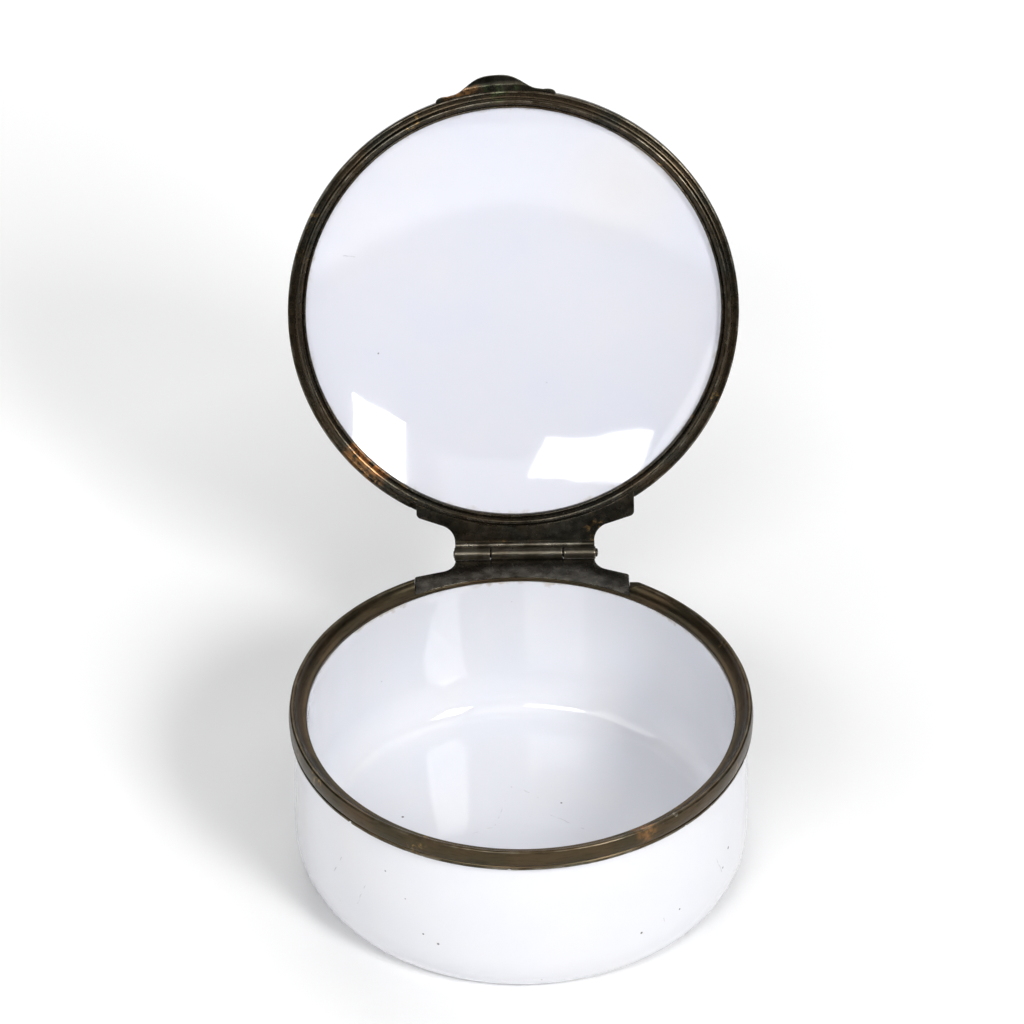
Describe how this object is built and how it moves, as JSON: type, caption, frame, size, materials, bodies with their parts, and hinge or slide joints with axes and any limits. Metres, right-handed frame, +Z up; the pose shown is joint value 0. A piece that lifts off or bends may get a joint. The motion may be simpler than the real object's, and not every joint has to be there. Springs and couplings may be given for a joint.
{
  "type": "hinged trinket box",
  "caption": "Round hinged trinket box: white enamelled copper bowl and domed lid, aged brass bezels, a knuckle hinge and an ogee thumbpiece, shown open.",
  "frame": {"origin": "centre of the flat underside that the box stands on", "axes": "+Z up; the hinge is at +Y, the thumbpiece's side of the shut box at -Y, and the hinge pin lies along X"},
  "size_m": [0.05, 0.0751, 0.0683],
  "materials": {
    "enamel": "glossy white vitreous enamel",
    "copper_core": "bare copper, hidden under the enamel",
    "bezel_brass": "gilt brass, worn and darkened to olive brown",
    "hinge_brass": "brass, darkened, with bright wear on the knuckles"
  },
  "bodies": {
    "base": {"base_copper_bowl": "copper_core", "base_outer_enamel": "enamel", "base_inner_enamel": "enamel", "base_bezel": "bezel_brass", "base_hinge_plate": "bezel_brass", "base_knuckle": "hinge_brass"},
    "lid": {"lid_copper_dome": "copper_core", "lid_outer_enamel": "enamel", "lid_inner_enamel": "enamel", "lid_bezel": "bezel_brass", "lid_collar": "bezel_brass", "lid_hinge_plate": "bezel_brass", "lid_hinge_bearer": "hinge_brass", "lid_knuckle_left": "hinge_brass", "lid_knuckle_right": "hinge_brass", "hinge_pin": "hinge_brass", "thumbpiece": "bezel_brass"}
  },
  "joints": [
    {"name": "lid_hinge", "type": "hinge", "parent": "base", "child": "lid", "pos_m": [0.00095, 0.02715, 0.01971], "axis": [1, 0, 0], "range_deg": [0, 113.3]}
  ]
}
